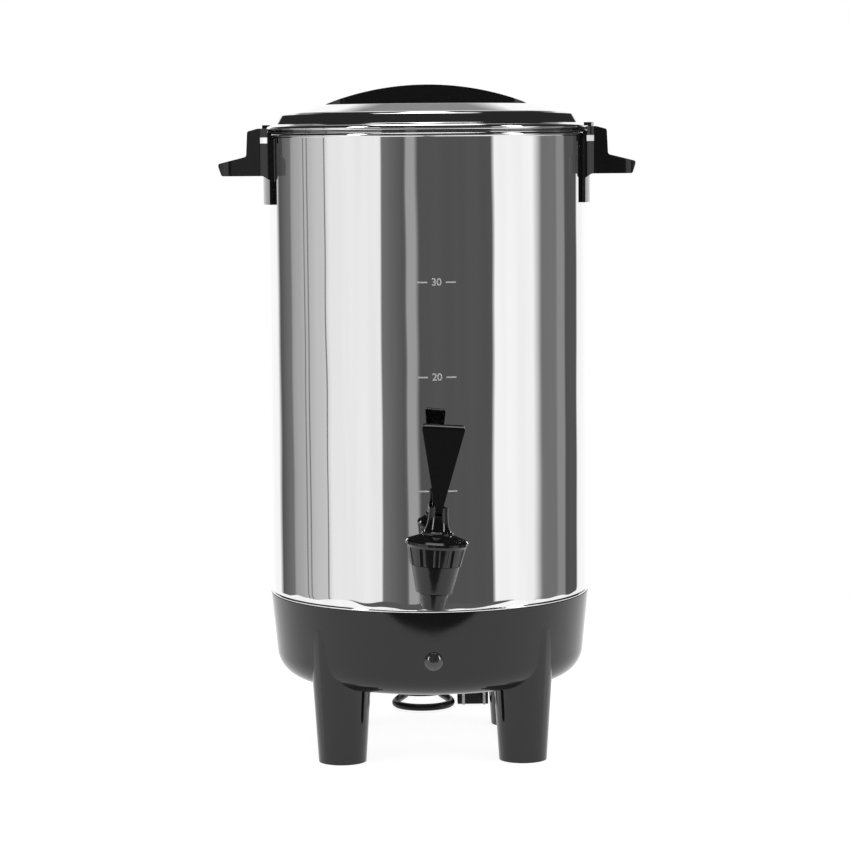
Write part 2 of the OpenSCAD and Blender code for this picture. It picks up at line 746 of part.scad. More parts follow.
module base_plate() {
    color(steel) difference() {
        translate([0, 0, plate_seat_z - plate_t]) cylinder(h = plate_t, r = plate_r);
        translate([0, 0, bowl_clear - 5]) cylinder(h = 10, r = stud_r + fit_gap);
        for (turn = [0:90:270]) rotate([0, 0, turn])
            translate([screw_ring, 0, bowl_clear - 5]) cylinder(h = 10, r = base_screw_r + fit_gap / 2);
        for (turn = [45:90:315]) for (k = [-1:1]) rotate([0, 0, turn + k * 16])
            translate([opening_r - 14, 0, bowl_clear - 5]) cylinder(h = 10, r = 2);
    }
}
module base_screws() {
    color(steel) for (turn = [0:90:270]) rotate([0, 0, turn])
        translate([screw_ring, 0, plate_seat_z - plate_t]) {
            translate([0, 0, -0.6]) cylinder(h = 8, r = base_screw_r);
            difference() {
                translate([0, 0, -1.8]) cylinder(h = 1.8, r = base_screw_r * 1.8);
                translate([-2, -0.4, -1.8 - cut]) cube([4, 0.8, 0.9 + cut]);
            }
        }
}

// ---------------------------------------------------------------- heaters and wiring
stud_r = 2.5;
heater_r = well_r - 3;
heater_h = 7;
heater_z = under_well_z - heater_h;
element_r = 3.2;
pump_ring_r = 13.5;
clamp_z = heater_z + 1.2 - 2 * element_r - touch;
ring_r = well_r + 21.5;                 // radius of the keep-warm ring
ring_cz = under_floor_z - element_r;
pin_len = 11;
clamp_t = 1.6;
nut_h = 4;
part_ring = well_r + 9.8;               // where the thermostat and fuse sit
thermostat_turn = 140;
thermostat_r = 6.6;
thermostat_h = 7;
fuse_turn = 220;
fuse_r = 2;

module centre_stud() {
    color(steel) translate([0, 0, bowl_clear - 5.5])
        cylinder(h = under_well_z - bowl_clear + 5.5, r = stud_r);
}
module hex_nut(z) {
    translate([0, 0, z]) difference() {
        cylinder(h = nut_h, d = 8 / cos(30), $fn = 6);
        translate([0, 0, -cut]) cylinder(h = nut_h + 2 * cut, r = stud_r + touch);
    }
}
module stud_nuts() {
    color(steel) {
        hex_nut(plate_seat_z - plate_t - nut_h);
        hex_nut(clamp_z - clamp_t - nut_h);
    }
}
module pump_heater() {
    color([0.7, 0.7, 0.7]) difference() {
        union() {
            translate([0, 0, heater_z]) cylinder(h = heater_h, r = heater_r);
            translate([0, 0, heater_z - element_r + 1.2]) rotate_extrude()
                translate([pump_ring_r, 0]) circle(r = element_r);
            for (side = [-1, 1]) translate([side * pump_ring_r, 0, heater_z - element_r - pin_len])
                cylinder(h = pin_len + 2, r = 1.6);
        }
        translate([0, 0, heater_z - cut]) cylinder(h = heater_h + 2 * cut, r = stud_r + touch);
    }
}
module heater_clamp() {
    color(steel) difference() {
        translate([-7, -heater_r, clamp_z - clamp_t]) cube([14, 2 * heater_r, clamp_t]);
        translate([0, 0, clamp_z - 5]) cylinder(h = 10, r = stud_r + touch);
    }
}
module warming_element() {
    start = 305;
    color([0.35, 0.35, 0.35]) {
        translate([0, 0, ring_cz]) rotate([0, 0, start]) rotate_extrude(angle = 290)
            translate([ring_r, 0]) circle(r = element_r);
        for (turn = [start, start + 290]) rotate([0, 0, turn]) translate([ring_r, 0, ring_cz]) {
            translate([0, 0, -pin_len]) cylinder(h = pin_len + element_r - 0.1, r = element_r + 0.3);
            translate([0, 0, -pin_len - 5]) cylinder(h = 6, r = 1.2);
        }
    }
}
clip_t = 0.8;
module element_clips() {
    inner = element_r + 0.1;
    color(steel) for (turn = [20, 95, 185]) rotate([0, 0, turn - 5]) rotate_extrude(angle = 10)
        difference() {
            union() {
                translate([ring_r - inner - clip_t - 4, under_floor_z - clip_t])
                    square([2 * (inner + clip_t + 4), clip_t]);
                translate([ring_r - inner - clip_t, under_floor_z - 2 * element_r - 0.1 - clip_t])
                    square([2 * (inner + clip_t), 2 * element_r + 0.1 + clip_t]);
            }
            translate([ring_r - inner, under_floor_z - 2 * element_r - 0.1])
                square([2 * inner, 2 * element_r + 1]);
        }
}
module at_thermostat() {
    rotate([0, 0, thermostat_turn]) translate([part_ring, 0, 0]) children();
}
module thermostat() {
    color(black) at_thermostat() {
        translate([0, 0, under_floor_z - thermostat_h]) cylinder(h = thermostat_h, r = thermostat_r);
        for (side = [-1, 1]) translate([-0.4, side * 3.6 - 2, under_floor_z - thermostat_h - 7])
            cube([0.8, 4, 8]);
    }
}
module thermostat_bracket() {
    foot = thermostat_r + 0.4;
    color(steel) at_thermostat() difference() {
        union() {
            translate([-2.5, -foot - 5, under_floor_z - thermostat_h - 1]) cube([5, 2 * foot + 10, 1]);
            for (side = [-1, 1])
                translate([-2.5, side * (foot + 4.5) - 0.5, under_floor_z - thermostat_h - 1])
                    cube([5, 1, thermostat_h + 1]);
        }
        translate([-5, -foot + 0.5, under_floor_z - thermostat_h - 5]) cube([10, 2 * foot - 1, 5]);
    }
}
module thermal_fuse() {
    color([0.8, 0.8, 0.78]) rotate([0, 0, fuse_turn])
        translate([part_ring, 0, under_floor_z - fuse_r - 0.8]) {
        along_y(11, fuse_r, -5.5);
        along_y(22, 0.5, -11);
        translate([-fuse_r - 0.6, -2.5, 0]) cube([0.8, 5, fuse_r + 0.8]);
        translate([fuse_r - 0.2, -2.5, 0]) cube([0.8, 5, fuse_r + 0.8]);
    }
}

lens_y = bowl_r(lamp_z);
module at_lamp() {
    translate([0, -lens_y, lamp_z]) rotate([bowl_lean_angle, 0, 0]) children();
}
module ready_lens() {
    dome_h = 2.4;
    dome_r = (lamp_d * lamp_d / 4 + dome_h * dome_h) / (2 * dome_h);
    color([0.12, 0.12, 0.12]) at_lamp() translate([0, -touch, 0]) {
        intersection() {
            translate([0, dome_r - dome_h - 0.9, 0]) sphere(r = dome_r);
            along_y(10, lamp_d / 2, -10.9);
        }
        along_y(0.9, lamp_d / 2, -0.9);
        difference() {
            along_y(10, lamp_d / 2 - 1 - touch, -0.5);
            along_y(10, lamp_d / 2 - 2, 2);
        }
    }
}
module lamp_holder() {
    color([0.9, 0.9, 0.88]) at_lamp() difference() {
        along_y(13, lamp_d / 2 + 1.2, bowl_wall + 1);
        along_y(11, lamp_d / 2 - 1 + touch, bowl_wall);
        along_y(20, 1.2, bowl_wall);
    }
}
module neon_lamp() {
    color([0.9, 0.75, 0.6]) at_lamp() {
        along_y(6.6, 2.4, 3.4);
        along_y(8, 0.9, 9);
    }
}

// A line of straight runs with its corners bent softly.
function bent(p, r = 8) = concat(
    [p[0]],
    [
        for (i = [1:len(p) - 2])
            let (
                d = min(r, 0.45 * norm(p[i] - p[i - 1]), 0.45 * norm(p[i + 1] - p[i])),
                a = p[i] + d * unit(p[i - 1] - p[i]), c = p[i] + d * unit(p[i + 1] - p[i])
            )
            for (t = [0:0.25:1]) (1 - t) * (1 - t) * a + 2 * t * (1 - t) * p[i] + t * t * c
    ],
    [p[len(p) - 1]]
);
function spot(r, turn, z) = [r * cos(turn), r * sin(turn), z];
function aside(turn) = [-sin(turn), cos(turn), 0];
relief_in = bowl_r(cord_exit[2]) - bowl_wall;
function lead_end(side) = spot(relief_in - 3.7, cord_turn, cord_exit[2]) + side * 1.5 * aside(cord_turn);
function lead_in(side) = lead_end(side) - 4 * [cos(cord_turn), sin(cord_turn), 0];
function terminal(side) =
    spot(part_ring, thermostat_turn, under_floor_z - thermostat_h - 7.1)
    + side * 3.6 * aside(thermostat_turn);
function fuse_end(side) =
    spot(part_ring, fuse_turn, under_floor_z - fuse_r - 0.8) + side * 11.1 * aside(fuse_turn);
function lamp_end(side) = [side * 1.2, 17.2 - lens_y, lamp_z + 1.6];
function ring_end(turn) = spot(ring_r, turn, ring_cz - pin_len - 5.1);
function heater_end(side) = [side * pump_ring_r, 0, heater_z - element_r - pin_len - 0.1];
below = [0, 0, -7];
// Insulated wires inside the base, from the lead through fuse and thermostat to the heaters.
module wiring() {
    color([0.85, 0.82, 0.75]) {
        swept_tube(bent([
            lead_end(-1), lead_in(-1), [-20, 52, 55], [-19, 30, 56], heater_end(-1) + 2 * below,
            heater_end(-1) + below, heater_end(-1)
        ]), 1.1, 8);
        swept_tube(bent([
            lead_end(1), lead_in(1), [-42, 50, 60], [-52, 20, 62], [-50, -4, 68],
            fuse_end(-1) - 5 * aside(fuse_turn) + below, fuse_end(-1) - 3 * aside(fuse_turn), fuse_end(-1)
        ]), 1.1, 8);
        swept_tube(bent([
            fuse_end(1), fuse_end(1) + 3 * aside(fuse_turn), [-12, -34, 84], [-12, -28, 68],
            [-26, -4, 60], [-33, 14, 68], terminal(1) + below, terminal(1)
        ]), 1.1, 8);
        swept_tube(bent([
            terminal(-1), terminal(-1) + below, [-16, 26, 66], [4, 18, 60], heater_end(1) + 2 * below,
            heater_end(1) + below, heater_end(1)
        ]), 1.1, 8);
        for (side = [-1, 1]) swept_tube(bent([
            lamp_end(side), [side * 6, -62, lamp_z], [side * 22, -44, 60],
            ring_end(270 + side * 35) + below, ring_end(270 + side * 35)
        ]), 1.1, 8);
    }
}

// ---------------------------------------------------------------- mains lead
cord_r = cord_d / 2;
relief_out = norm([cord_exit[0], cord_exit[1]]);    // end of the strain relief
relief_ribs = 6;
relief_line = concat(
    [[0, -3.6], [relief_hole + 1.6, -3.6], [relief_hole + 1.6, -1], [relief_hole - touch, -1],
     [relief_hole - touch, bowl_wall + 0.5], [relief_hole + 1.2, bowl_wall + 0.6],
     [relief_hole + 1.2, bowl_wall + 2.4]],
    [
        for (i = [0:relief_ribs - 1])
            let (
                step = (relief_out - relief_in - bowl_wall - 4) / relief_ribs,
                z = bowl_wall + 2.6 + i * step, r = 4.2 - 1.2 * i / relief_ribs
            )
            each [[r, z], [r - 0.1, z + step * 0.6], [r - 0.6, z + step * 0.65], [r - 0.6, z + step * 0.95]]
    ],
    [[cord_r + 0.6, relief_out - relief_in - 1], [cord_r + 0.3, relief_out - relief_in],
     [0, relief_out - relief_in]]
);
module strain_relief() {
    color(black) rotate([0, 0, cord_turn]) translate([relief_in, 0, cord_exit[2]])
        rotate([0, 90, 0]) rotate_extrude() polygon(relief_line);
}

// The hank: two loops that wind in, climb along a run and wind out again.
hank_at = [-3, 138];            // middle of the hank on the floor
hank_run = 70;                  // length of a straight run
hank_fold = 13.6;               // radius of the tightest fold
hank_step = 5.8;                // how much wider the outer loop is
hank_layer = 4.9;               // height of one layer
hank_waist = 7;                 // how far each run is drawn in at the tie
hank_fan = 20;                  // how far back the upper loop's near fold lies
hank_z = cord_r + 0.6;          // height of the lower layer's middle
rings = 24;                     // rings in one loop
function smooth(x) = x * x * (3 - 2 * x);
function hank_point(s) =
    let (
        u = s - floor(s), spread = hank_fold + hank_step * abs(1 - s),
        up = hank_layer * smooth(min(max((s - 1) * 6, 0), 1)),
        on_run = u < 0.25 || (u >= 0.5 && u < 0.75),
        side = u < 0.5 ? 1 : -1,
        part = (u % 0.25) * 4,
        run_y = side * (0.5 - part) * hank_run,
        waist = spread - hank_waist * pow(cos(180 * run_y / hank_run), 2),
        turn = part * 180,
        near = on_run ? 0.5 - run_y / hank_run : (side + 1) / 2,
        back = s > 1 ? hank_fan * near : 0
    )
    on_run
        ? [hank_at[0] + side * waist, hank_at[1] + run_y + back, hank_z + up]
        : [hank_at[0] + side * spread * cos(turn),
           hank_at[1] - side * (hank_run / 2 + spread * sin(turn)) + back, hank_z + up];
hank_path = concat(
    [hank_point(0) + [0, 4.4, 0]],
    [for (i = [0:2 * rings]) hank_point(min(i / rings, 1.9999))],
    [hank_point(1.9999) - [0, 4.4, 0]]
);
hank_fine = [
    for (i = [0:len(hank_path) - 2])
        each [hank_path[i], (hank_path[i] + hank_path[i + 1]) / 2]
];
function gaps(p, d) = [
    for (i = [0:len(p) - 1]) for (j = [i + 6:1:len(p) - 1]) norm(p[i] - p[j]) - d
];

lead_path = [
    cord_exit, [-41.5, 114.1, 60], [-44, 121.5, 59.5], [-46.5, 129.5, 56.5], [-48.5, 136.5, 51.5],
    [-50, 142.2, 45], [-51.4, 147.2, 36.5], [-52.4, 151.6, 27], [-53, 156.5, 18], [-53.5, 162.8, 10.3],
    [-53.5, 170.5, 5], [-52, 180, 2.6], [-48, 188.5, 2.3], [-41.5, 196, 2.3], [-33.5, 201.8, 2.3],
    [-25.5, 205.6, 2.3], [-17.5, 207.6, 2.3], [-9.6, 207.8, 2.3], [-2.9, 206.9, 2.3], [3.4, 204.3, 2.4],
    [8.8, 200.2, 2.5], [12.9, 194.8, 2.6], [15.5, 188.5, 2.7], [16.4, 181.8, 2.8], hank_path[0]
];
plug_at = [28.6, 136, 6.1];
plug_turn = -90;                // direction that the plug points in
plug_neck = 8;
tail_path = [
    hank_path[len(hank_path) - 1], [16.4, 166.8, 7.7], [16.7, 163.8, 7.7], [17.4, 160.6, 7.6],
    [18.7, 157.6, 7.4], [20.4, 154.8, 7.2], [22.5, 152.3, 6.9], [24.6, 149.8, 6.6], [26.3, 147, 6.4],
    [27.6, 144, 6.2], [28.3, 140.9, 6.1], [28.6, 137.6, 6.1], plug_at
];

module cord_lead() {
    color(black) swept_tube(lead_path, cord_r, 8);
}
module cord_hank() {
    color(black) swept_tube(hank_path, cord_r, 6);
}
module cord_tail() {
    color(black) swept_tube(tail_path, cord_r, 8);
}
tie_t = 0.5;
tie_w = 4;
module cord_tie() {
    right = hank_fold + 0.9 * hank_step - hank_waist + cord_r + 1.2;
    left = hank_fold + 0.65 * hank_step - hank_waist + cord_r + 1.2;
    foot = hank_z - cord_r - 0.1;
    top = hank_z + hank_layer + cord_r + 0.1;
    middle = hank_at[1] + hank_fan / 4;
    color([0.1, 0.1, 0.1]) translate([hank_at[0], middle + tie_w / 2, 0]) rotate([90, 0, 0])
        linear_extrude(tie_w) difference() {
            polygon(rounded([
                [-left - tie_t, foot - tie_t, 2.5], [right + tie_t, foot - tie_t, 2.5],
                [right + tie_t, top + tie_t, 2.5], [-left - tie_t, top + tie_t, 2.5]
            ]));
            polygon(rounded([
                [-left, foot, 2], [right, foot, 2], [right, top, 2], [-left, top, 2]
            ]));
        }
}
// The plug's frame: origin where the lead enters its neck, x towards the blades.
module plug_frame() {
    translate(plug_at) rotate([0, 0, plug_turn]) children();
}
module plug_body() {
    color(black) plug_frame() difference() {
        union() {
            along_x(plug_neck + 2, cord_r + 1.4);
            intersection() {
                translate([plug_neck - 3, 0, -plug_at[2] + 0.1]) linear_extrude(plug_t) polygon(rounded([
                    [0, -5, 1.5], [3, -5.5, 2], [plug_l * 0.55, -plug_w / 2, 4], [plug_l + 3, -plug_w / 2, 1],
                    [plug_l + 3, plug_w / 2, 1], [plug_l * 0.55, plug_w / 2, 4], [3, 5.5, 2], [0, 5, 1.5]
                ]));
                translate([plug_neck - 4, 0, -plug_at[2] + 0.1]) rotate([90, 0, 0])
                    linear_extrude(40, center = true) polygon(rounded([
                        [0, 1.5, 1], [6, 0, 2], [plug_l + 4, 0, 1], [plug_l + 4, plug_t, 1],
                        [6, plug_t, 2], [0, plug_t - 1.5, 1]
                    ]));
            }
        }
        for (side = [-1, 1])
            translate([plug_neck + plug_l - 6, side * 6.35 - 0.8, -3.2]) cube([10, 1.6, 6.4]);
    }
}
module plug_blades() {
    color(steel) plug_frame() for (side = [-1, 1]) translate([plug_neck + plug_l - 5.9, side * 6.35, 0])
        difference() {
            translate([0, -0.75, -3.15]) cube([21.9, 1.5, 6.3]);
            translate([18.4, 0, 0]) along_y(4, 1.6, -2);
        }
}

tank();
handle_right();
handle_left();
handle_screws();
handle_washers();
lid_seal();
lid_shell();
lid_handle();
lid_screws();
pump_foot();
pump_tube();
pump_washer();
basket();
basket_cover();
tap_body();
tap_gasket();
tap_inner_gasket();
tap_nut();
tap_bonnet();
tap_lever();
tap_pin();
tap_stem();
tap_seat_cup();
tap_spring();
base_shell();
base_plate();
base_screws();
centre_stud();
stud_nuts();
pump_heater();
heater_clamp();
warming_element();
element_clips();
thermostat();
thermostat_bracket();
thermal_fuse();
ready_lens();
lamp_holder();
neon_lamp();
wiring();
strain_relief();
cord_lead();
cord_hank();
cord_tail();
cord_tie();
plug_body();
plug_blades();

echo("least gap of the hank to itself", min(gaps(hank_fine, cord_d)));
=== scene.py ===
# %% [markdown]
# # A percolator coffee urn
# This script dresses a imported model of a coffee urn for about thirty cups: a mirror-polished steel
# drum and lid, glossy black plastic handles, tap and footed base, and a tied mains lead behind.
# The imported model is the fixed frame. It could be remodelled from nothing, but its sizes are
# already right, so it is loaded first and everything else is fitted to it.

import math

import bmesh
import bpy
from mathutils import Matrix, Vector


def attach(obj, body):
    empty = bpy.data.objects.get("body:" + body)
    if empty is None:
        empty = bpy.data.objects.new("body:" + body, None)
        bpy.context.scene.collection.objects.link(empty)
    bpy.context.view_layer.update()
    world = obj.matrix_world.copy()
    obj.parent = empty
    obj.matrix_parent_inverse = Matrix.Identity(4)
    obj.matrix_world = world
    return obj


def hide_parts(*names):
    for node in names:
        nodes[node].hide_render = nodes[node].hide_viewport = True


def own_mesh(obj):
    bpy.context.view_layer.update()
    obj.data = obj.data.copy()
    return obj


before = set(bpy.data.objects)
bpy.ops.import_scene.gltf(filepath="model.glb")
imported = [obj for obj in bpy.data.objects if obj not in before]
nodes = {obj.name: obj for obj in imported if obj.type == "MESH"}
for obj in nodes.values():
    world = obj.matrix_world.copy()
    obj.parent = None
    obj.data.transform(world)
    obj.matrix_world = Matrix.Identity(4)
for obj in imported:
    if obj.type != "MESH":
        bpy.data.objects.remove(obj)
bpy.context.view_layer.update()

# %% [markdown]
# ## The camera
# The photograph was taken from 1.64 m away with a long lens, at about the height of the drum's rim
# and looking down a little, with the urn turned about a degree and the camera tilted by half a
# degree. A camera can be aimed with a tracking constraint, but a matrix made of three plain turns
# keeps the small tilt exactly, so the turns are multiplied here.

# %% Place the camera
camera_data = bpy.data.cameras.new("camera")
camera_data.lens = 121.0
camera_data.sensor_width = 36.0
camera = bpy.data.objects.new("camera", camera_data)
bpy.context.scene.collection.objects.link(camera)
bpy.context.scene.camera = camera

CAMERA_AWAY, CAMERA_HEIGHT = 1.64, 0.344
# Degrees: round the urn, aside, down and over.
ROUND, ASIDE, DOWN, OVER = -1.2, 0.07, 5.54, -0.45


def rotated(angle, axis):
    return Matrix.Rotation(math.radians(angle), 4, axis)


place = rotated(ROUND, "Z") @ Matrix.Translation((0, -CAMERA_AWAY, CAMERA_HEIGHT))
aim = rotated(ASIDE, "Z") @ rotated(90 - DOWN, "X") @ rotated(OVER, "Z")
camera.matrix_world = place @ aim
print("camera at", [round(v, 3) for v in camera.matrix_world.translation])

# %% [markdown]
# ## The mains lead
# The lead is one length of round flex. It leaves the strain relief at the back, bends down to the
# table, curls round behind the urn into a hank of two loops drawn in by a tie, and ends in its
# plug. Flex bends evenly, so its route is a smooth line through given points, with a round
# section swept along it. A curve with a bevel does that. It is made a mesh at the end, because a
# curve's box counts a metre round each of its points.

# %% The route of the lead
LEAD_D = 0.0044
LEAD_ROUTE = [
    (-40, 110, 60), (-41.5, 114.1, 60), (-44, 121.5, 59.5), (-46.5, 129.5, 56.5), (-48.5, 136.5, 51.5),
    (-50, 142.2, 45), (-51.4, 147.2, 36.5), (-52.4, 151.6, 27), (-53, 156.5, 18), (-53.5, 162.8, 10.3),
    (-53.5, 170.5, 5), (-52, 180, 2.6), (-48, 188.5, 2.3), (-41.5, 196, 2.3), (-33.5, 201.8, 2.3),
    (-25.5, 205.6, 2.3), (-17.5, 207.6, 2.3), (-9.6, 207.8, 2.3), (-2.9, 206.9, 2.3), (3.4, 204.3, 2.4),
    (8.8, 200.2, 2.5), (12.9, 194.8, 2.6), (15.5, 188.5, 2.7), (16.4, 181.8, 2.8),
]
TAIL_ROUTE = [
    (16.4, 168.6, 7.7), (16.4, 166.8, 7.7), (16.7, 163.8, 7.7), (17.4, 160.6, 7.6), (18.7, 157.6, 7.4),
    (20.4, 154.8, 7.2), (22.5, 152.3, 6.9), (24.6, 149.8, 6.6), (26.3, 147, 6.4), (27.6, 144, 6.2),
    (28.3, 140.9, 6.1), (28.6, 137.6, 6.1), (28.6, 136, 6.1),
]
HANK_MIDDLE, HANK_RUN, HANK_FOLD, HANK_STEP = (-3, 138), 70, 13.6, 5.8
HANK_LAYER, HANK_WAIST, HANK_HEIGHT, HANK_FAN = 4.9, 7, 2.8, 20
HANK_LOOPS, POINTS_A_LOOP = 2, 32
CLIMB_SHARE = 1 / 6


def hank_point(s):
    """A point on the hank after s loops, in millimetres."""
    part = s % 1
    spread = HANK_FOLD + HANK_STEP * abs(1 - s)
    climb = min(max((s - 1) / CLIMB_SHARE, 0), 1)
    z = HANK_HEIGHT + HANK_LAYER * climb * climb * (3 - 2 * climb)
    side = 1 if part < 0.5 else -1
    along = (part % 0.25) * 4
    if part < 0.25 or 0.5 <= part < 0.75:
        y = side * (0.5 - along) * HANK_RUN
        waist = spread - HANK_WAIST * math.cos(math.pi * y / HANK_RUN) ** 2
        back = HANK_FAN * (0.5 - y / HANK_RUN) * (s > 1)
        return (HANK_MIDDLE[0] + side * waist, HANK_MIDDLE[1] + y + back, z)
    turn = math.pi * along
    back = HANK_FAN * (side + 1) / 2 * (s > 1)
    return (
        HANK_MIDDLE[0] + side * spread * math.cos(turn),
        HANK_MIDDLE[1] - side * (HANK_RUN / 2 + spread * math.sin(turn)) + back,
        z,
    )


hank = [
    hank_point(min(i / POINTS_A_LOOP, HANK_LOOPS - 0.0001))
    for i in range(HANK_LOOPS * POINTS_A_LOOP + 1)
]
route = LEAD_ROUTE + hank + TAIL_ROUTE
print("the lead's route has", len(route), "points")


# %% Smooth the route
LINE_STEP = 2.2


def smooth_line(points, step):
    """Points about a step apart on a smooth line through the given points (centripetal)."""
    points = [Vector(p) for p in points]
    ends = [2 * points[0] - points[1], *points, 2 * points[-1] - points[-2]]
    line = []
    for a, b, c, d in zip(ends, ends[1:], ends[2:], ends[3:]):
        t1 = (b - a).length ** 0.5
        t2 = t1 + (c - b).length ** 0.5
        t3 = t2 + (d - c).length ** 0.5
        count = max(1, round((c - b).length / step))
        for i in range(count):
            t = t1 + (t2 - t1) * i / count
            ab = a.lerp(b, t / t1)
            bc = b.lerp(c, (t - t1) / (t2 - t1))
            cd = c.lerp(d, (t - t2) / (t3 - t2))
            abc = ab.lerp(bc, t / t2)
            bcd = bc.lerp(cd, (t - t1) / (t3 - t1))
            line.append(abc.lerp(bcd, (t - t1) / (t2 - t1)))
    return [*line, points[-1]]


lead_line = [p / 1000 for p in smooth_line(route, LINE_STEP)]
lead_length = sum((b - a).length for a, b in zip(lead_line, lead_line[1:]))
print("the lead is", round(lead_length, 3), "m long")

# %% Sweep the flex along it
flex_curve = bpy.data.curves.new("mains_flex", "CURVE")
flex_curve.dimensions = "3D"
flex_curve.bevel_depth = LEAD_D / 2
flex_curve.bevel_resolution = 5
flex_curve.use_fill_caps = True
spline = flex_curve.splines.new("POLY")
spline.points.add(len(lead_line) - 1)
for point, at in zip(spline.points, lead_line):
    point.co = (*at, 1)
spline.use_smooth = True
swept = bpy.data.objects.new("swept", flex_curve)
bpy.context.scene.collection.objects.link(swept)
tube = bpy.data.meshes.new_from_object(swept.evaluated_get(bpy.context.evaluated_depsgraph_get()))
bpy.data.objects.remove(swept)
flex = bpy.data.objects.new("mains_flex", tube)
bpy.context.scene.collection.objects.link(flex)
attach(flex, "urn")
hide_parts("cord_lead", "cord_hank", "cord_tail")
print("flex:", len(tube.polygons), "faces")

# %% [markdown]
# ## The drum and the lid
# Both are pressed from steel sheet and spun while their edges are rolled over a wire or a wheel,
# so each is one section turned round the axis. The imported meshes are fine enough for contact, but
# a mirror shows every facet on their rolled edges. They are made again here from the same section
# with many more steps: the section is drawn as points and edges, and the spin operator turns it.

# %% Sections of pressed sheet
SHEET = 0.8


def rounded(points, steps=10):
    """A line through (radius, height, corner radius) points, in millimetres."""
    spots = [Vector(p[:2]) for p in points]
    line = [spots[0]]
    for before, at, after, point in zip(spots, spots[1:], spots[2:], points[1:]):
        u, v = (before - at).normalized(), (after - at).normalized()
        half = u.angle(v) / 2
        middle = at + (u + v).normalized() * point[2] / math.sin(half)
        start, end = at + u * point[2] / math.tan(half), at + v * point[2] / math.tan(half)
        for i in range(steps + 1):
            arm = start.lerp(end, i / steps) - middle
            line.append(middle + arm.normalized() * point[2])
    return [*line, spots[-1]]


def sheet_section(line):
    """The line and its copy one sheet's thickness to its right, as a closed outline."""
    inner = []
    for i, at in enumerate(line):
        ways = [b - a for a, b in zip(line[max(i - 1, 0):i + 2], line[max(i - 1, 0) + 1:i + 2])]
        rights = [Vector((w.y, -w.x)).normalized() for w in ways]
        middle = (rights[0] + rights[-1]).normalized()
        inner.append(at + middle * SHEET / middle.dot(rights[0]))
    return [*line, *reversed(inner)]


def ring_section(x, z, r, count=28):
    """A round wire's outline."""
    return [
        Vector((x + r * math.cos(math.tau * i / count), z + r * math.sin(math.tau * i / count)))
        for i in range(count)
    ]


def strip_section(x, low, high):
    """A straight wall's outline, from its inner face outwards."""
    return [Vector(p) for p in ((x, low), (x + SHEET, low), (x + SHEET, high), (x, high))]


# %% Turn sections round the axis
def turned(name, sections, steps=288):
    """A mesh object made by spinning closed outlines in millimetres round the Z axis."""
    shape = bmesh.new()
    for section in sections:
        verts = [shape.verts.new((p.x / 1000, 0, p.y / 1000)) for p in section]
        pairs = [(a, b) for a, b in zip(verts, verts[1:] + verts[:1]) if a.co.x + b.co.x > 1e-6]
        edges = [shape.edges.new(pair) for pair in pairs]
        bmesh.ops.spin(
            shape, geom=verts + edges, cent=(0, 0, 0), axis=(0, 0, 1), angle=math.tau, steps=steps,
            use_merge=True,
        )
    bmesh.ops.remove_doubles(shape, verts=shape.verts, dist=1e-6)
    bmesh.ops.recalc_face_normals(shape, faces=shape.faces)
    return as_object(name, shape)


def as_object(name, shape):
    mesh = bpy.data.meshes.new(name)
    shape.to_mesh(mesh)
    shape.free()
    mesh.shade_smooth()
    mesh.set_sharp_from_angle(angle=math.radians(40))
    made = bpy.data.objects.new(name, mesh)
    bpy.context.scene.collection.objects.link(made)
    return made


def bake(piece):
    """Makes a piece's modifiers part of its mesh."""
    shaped = piece.evaluated_get(bpy.context.evaluated_depsgraph_get())
    piece.data = bpy.data.meshes.new_from_object(shaped)
    piece.modifiers.clear()


# %% The drum
DRUM_R = 0.091
WALL_INSIDE = DRUM_R * 1000 - SHEET
WALL_LOW, WALL_TOP = 91.6, 350.3
FLOOR_LINE = [(0, 92, 0), (25, 92, 2.5), (26.5, 99, 2), (90.4, 99, 0)]
rim = ring_section(90.45, 351.2, 1.2)
hem = ring_section(90.7, 90.9, 0.9)
drum = turned("polished_drum", [
    strip_section(WALL_INSIDE, WALL_LOW, WALL_TOP), rim, hem, sheet_section(rounded(FLOOR_LINE)),
])
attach(drum, "urn")
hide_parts("tank")
print("drum:", len(drum.data.polygons), "faces")

# %% [markdown]
# The lid's section rises from a flat dish to a raised ring and steps down to its rolled edge. A
# skirt below it centres it in the drum, and two lugs turn under the hooks of the side handles.
# The dish has three small steam vents; a Boolean modifier drills them like the press does.

# %% The lid's roof and its vents
VENT_R, VENTS_AT = 0.0015, 0.024
LID_LINE = [
    (0, 351.95, 0), (56, 351.95, 4), (62.5, 368.35, 3), (69, 368.35, 2.5), (83.6, 363.95, 3),
    (85.3, 362.75, 1), (88.3, 357.65, 0.5), (89.5, 356.85, 0),
]
roof = turned("polished_lid", [sheet_section(rounded(LID_LINE))])
drill_shape = bmesh.new()
for angle in (90, 210, 330):
    at = Matrix.Rotation(math.radians(angle), 4, "Z") @ Matrix.Translation((VENTS_AT, 0, 0.3515))
    bmesh.ops.create_cone(
        drill_shape, cap_ends=True, segments=32, radius1=VENT_R, radius2=VENT_R, depth=0.01, matrix=at
    )
drill = as_object("vent_drill", drill_shape)
vents = roof.modifiers.new("vents", "BOOLEAN")
vents.object = drill
vents.solver = "EXACT"
bake(roof)
bpy.data.objects.remove(drill)
print("roof:", len(roof.data.polygons), "faces")

